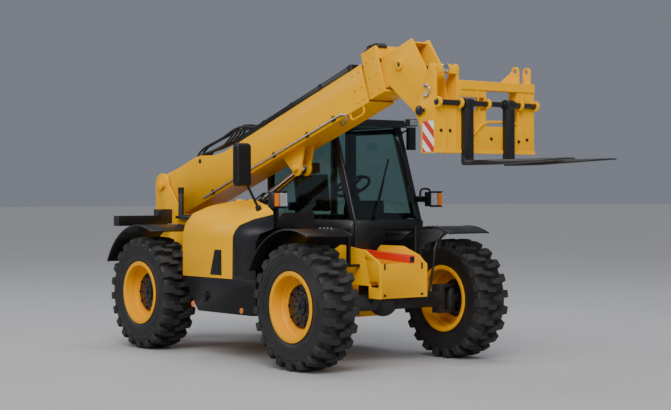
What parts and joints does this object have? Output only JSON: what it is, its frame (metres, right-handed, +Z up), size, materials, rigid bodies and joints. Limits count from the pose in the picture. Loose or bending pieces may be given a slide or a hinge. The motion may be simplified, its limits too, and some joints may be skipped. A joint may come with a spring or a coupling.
{
  "type": "telehandler",
  "caption": "Telescopic handler with side cab, side engine, all-wheel steering and a telescoping boom that carries a tilting fork carriage.",
  "frame": {"origin": "centre of the bounding box on the ground", "axes": "+X towards the fork tips, +Y towards the cab side, +Z up"},
  "size_m": [6.2508, 2.3, 3.0975],
  "materials": {
    "machine_yellow": "gloss machine paint",
    "rim_yellow": "satin machine paint",
    "black_paint": "satin black paint",
    "cab_black": "semi-gloss black paint",
    "axle_grey": "painted casting",
    "engine_iron": "painted casting",
    "black_plastic": "moulded, low sheen",
    "strut_red": "gloss red paint",
    "tinted_glass": "clear, tinted",
    "seat_cloth": "woven",
    "wear_pad": "nylon",
    "rod_chrome": "ground and plated",
    "fork_black": "satin, worn on top",
    "tyre": "moulded rubber"
  },
  "bodies": {
    "chassis": {"chassis_frame": "machine_yellow", "counterweight": "black_paint", "tow_hitch": "black_paint", "front_axle": "axle_grey", "rear_axle": "axle_grey", "engine_block": "engine_iron", "tank_box": "black_plastic", "front_pod": "black_plastic", "exhaust": "black_paint", "mudguards": "black_plastic", "rear_lamp_bar": "black_paint", "headlamps": "black_plastic", "safety_strut": "strut_red", "step_box": "black_plastic", "cab_tub": "cab_black", "cab_posts": "cab_black", "cab_glass": "tinted_glass", "left_mirror": "black_plastic", "seat": "seat_cloth", "dash": "black_plastic"},
    "bonnet": {"bonnet": "machine_yellow", "right_mirror": "black_plastic"},
    "door": {"door_frame": "cab_black", "door_glass": "tinted_glass"},
    "boom_outer": {"boom_outer": "machine_yellow", "outer_pads": "wear_pad", "hose_cover": "black_plastic"},
    "boom_mid": {"boom_mid": "machine_yellow", "mid_pads": "wear_pad"},
    "boom_inner": {"boom_inner": "machine_yellow"},
    "lift_barrel": {"lift_barrel": "black_paint"},
    "lift_rod": {"lift_rod": "rod_chrome"},
    "tilt_barrel": {"tilt_barrel": "black_paint"},
    "tilt_rod": {"tilt_rod": "rod_chrome"},
    "carriage": {"carriage": "machine_yellow", "fork_shaft": "fork_black", "forks": "fork_black"},
    "knuckle_fl": {"knuckle_fl": "axle_grey"},
    "wheel_fl": {"tyre_fl": "tyre", "rim_fl": "rim_yellow", "hub_fl": "black_paint"},
    "knuckle_fr": {"knuckle_fr": "axle_grey"},
    "wheel_fr": {"tyre_fr": "tyre", "rim_fr": "rim_yellow", "hub_fr": "black_paint"},
    "knuckle_rl": {"knuckle_rl": "axle_grey"},
    "wheel_rl": {"tyre_rl": "tyre", "rim_rl": "rim_yellow", "hub_rl": "black_paint"},
    "knuckle_rr": {"knuckle_rr": "axle_grey"},
    "wheel_rr": {"tyre_rr": "tyre", "rim_rr": "rim_yellow", "hub_rr": "black_paint"}
  },
  "joints": [
    {"name": "steer_fl", "type": "hinge", "parent": "chassis", "child": "knuckle_fl", "pos_m": [0.64463, 0.895, 0.605], "axis": [0, 0, 1], "range_deg": [-30, 30]},
    {"name": "spin_fl", "type": "hinge", "parent": "knuckle_fl", "child": "wheel_fl", "pos_m": [0.64463, 0.955, 0.605], "axis": [0, 1, 0], "continuous": true},
    {"name": "steer_fr", "type": "hinge", "parent": "chassis", "child": "knuckle_fr", "pos_m": [0.64463, -0.895, 0.605], "axis": [0, 0, 1], "range_deg": [-30, 30]},
    {"name": "spin_fr", "type": "hinge", "parent": "knuckle_fr", "child": "wheel_fr", "pos_m": [0.64463, -0.955, 0.605], "axis": [0, 1, 0], "continuous": true},
    {"name": "steer_rl", "type": "hinge", "parent": "chassis", "child": "knuckle_rl", "pos_m": [-2.10537, 0.895, 0.605], "axis": [0, 0, 1], "range_deg": [-30, 30]},
    {"name": "spin_rl", "type": "hinge", "parent": "knuckle_rl", "child": "wheel_rl", "pos_m": [-2.10537, 0.955, 0.605], "axis": [0, 1, 0], "continuous": true},
    {"name": "steer_rr", "type": "hinge", "parent": "chassis", "child": "knuckle_rr", "pos_m": [-2.10537, -0.895, 0.605], "axis": [0, 0, 1], "range_deg": [-30, 30]},
    {"name": "spin_rr", "type": "hinge", "parent": "knuckle_rr", "child": "wheel_rr", "pos_m": [-2.10537, -0.955, 0.605], "axis": [0, 1, 0], "continuous": true},
    {"name": "boom_lift", "type": "hinge", "parent": "chassis", "child": "boom_outer", "pos_m": [-2.80037, -0.225, 1.771], "axis": [0, -1, 0], "range_deg": [-21, 49.6]},
    {"name": "boom_extend", "type": "slide", "parent": "boom_outer", "child": "boom_mid", "axis": [0.9489, 0, 0.3156], "range_m": [0, 2.45]},
    {"name": "boom_extend_inner", "type": "slide", "parent": "boom_mid", "child": "boom_inner", "axis": [0.9489, 0, 0.3156], "range_m": [0, 2.45]},
    {"name": "carriage_tilt", "type": "hinge", "parent": "boom_inner", "child": "carriage", "pos_m": [1.63007, -0.225, 2.42384], "axis": [0, 1, 0], "range_deg": [-14, 45]},
    {"name": "lift_barrel_swing", "type": "hinge", "parent": "chassis", "child": "lift_barrel", "pos_m": [-2.58037, -0.225, 0.89], "axis": [0, -1, 0], "range_deg": [-18.53, 43.35]},
    {"name": "lift_rod_slide", "type": "slide", "parent": "lift_barrel", "child": "lift_rod", "axis": [0.9045, 0, 0.4265], "range_m": [-0.2934, 0.6902]},
    {"name": "tilt_barrel_swing", "type": "hinge", "parent": "boom_inner", "child": "tilt_barrel", "pos_m": [0.97727, -0.225, 2.7705], "axis": [0, 1, 0], "range_deg": [-3.93, 11.96]},
    {"name": "tilt_rod_slide", "type": "slide", "parent": "tilt_barrel", "child": "tilt_rod", "axis": [0.9991, 0, 0.0415], "range_m": [-0.0814, 0.2573]},
    {"name": "cab_door", "type": "hinge", "parent": "chassis", "child": "door", "pos_m": [-1.01037, 0.9603, 1.7], "axis": [0, 0, 1], "range_deg": [0, 80]},
    {"name": "bonnet_lid", "type": "hinge", "parent": "chassis", "child": "bonnet", "pos_m": [-0.73037, -0.5, 1.597], "axis": [-1, 0, 0], "range_deg": [0, 45]}
  ],
  "couplings": [
    {"joint": "steer_fr", "follows": "steer_fl", "ratio": 1},
    {"joint": "steer_rl", "follows": "steer_fl", "ratio": -1},
    {"joint": "steer_rr", "follows": "steer_fl", "ratio": -1},
    {"joint": "boom_extend_inner", "follows": "boom_extend", "ratio": 1},
    {"joint": "lift_barrel_swing", "follows": "boom_lift", "ratio": 0.868},
    {"joint": "lift_rod_slide", "follows": "boom_lift", "m_per_rad": 0.795},
    {"joint": "tilt_barrel_swing", "follows": "carriage_tilt", "ratio": 0.259},
    {"joint": "tilt_rod_slide", "follows": "carriage_tilt", "m_per_rad": 0.325}
  ]
}
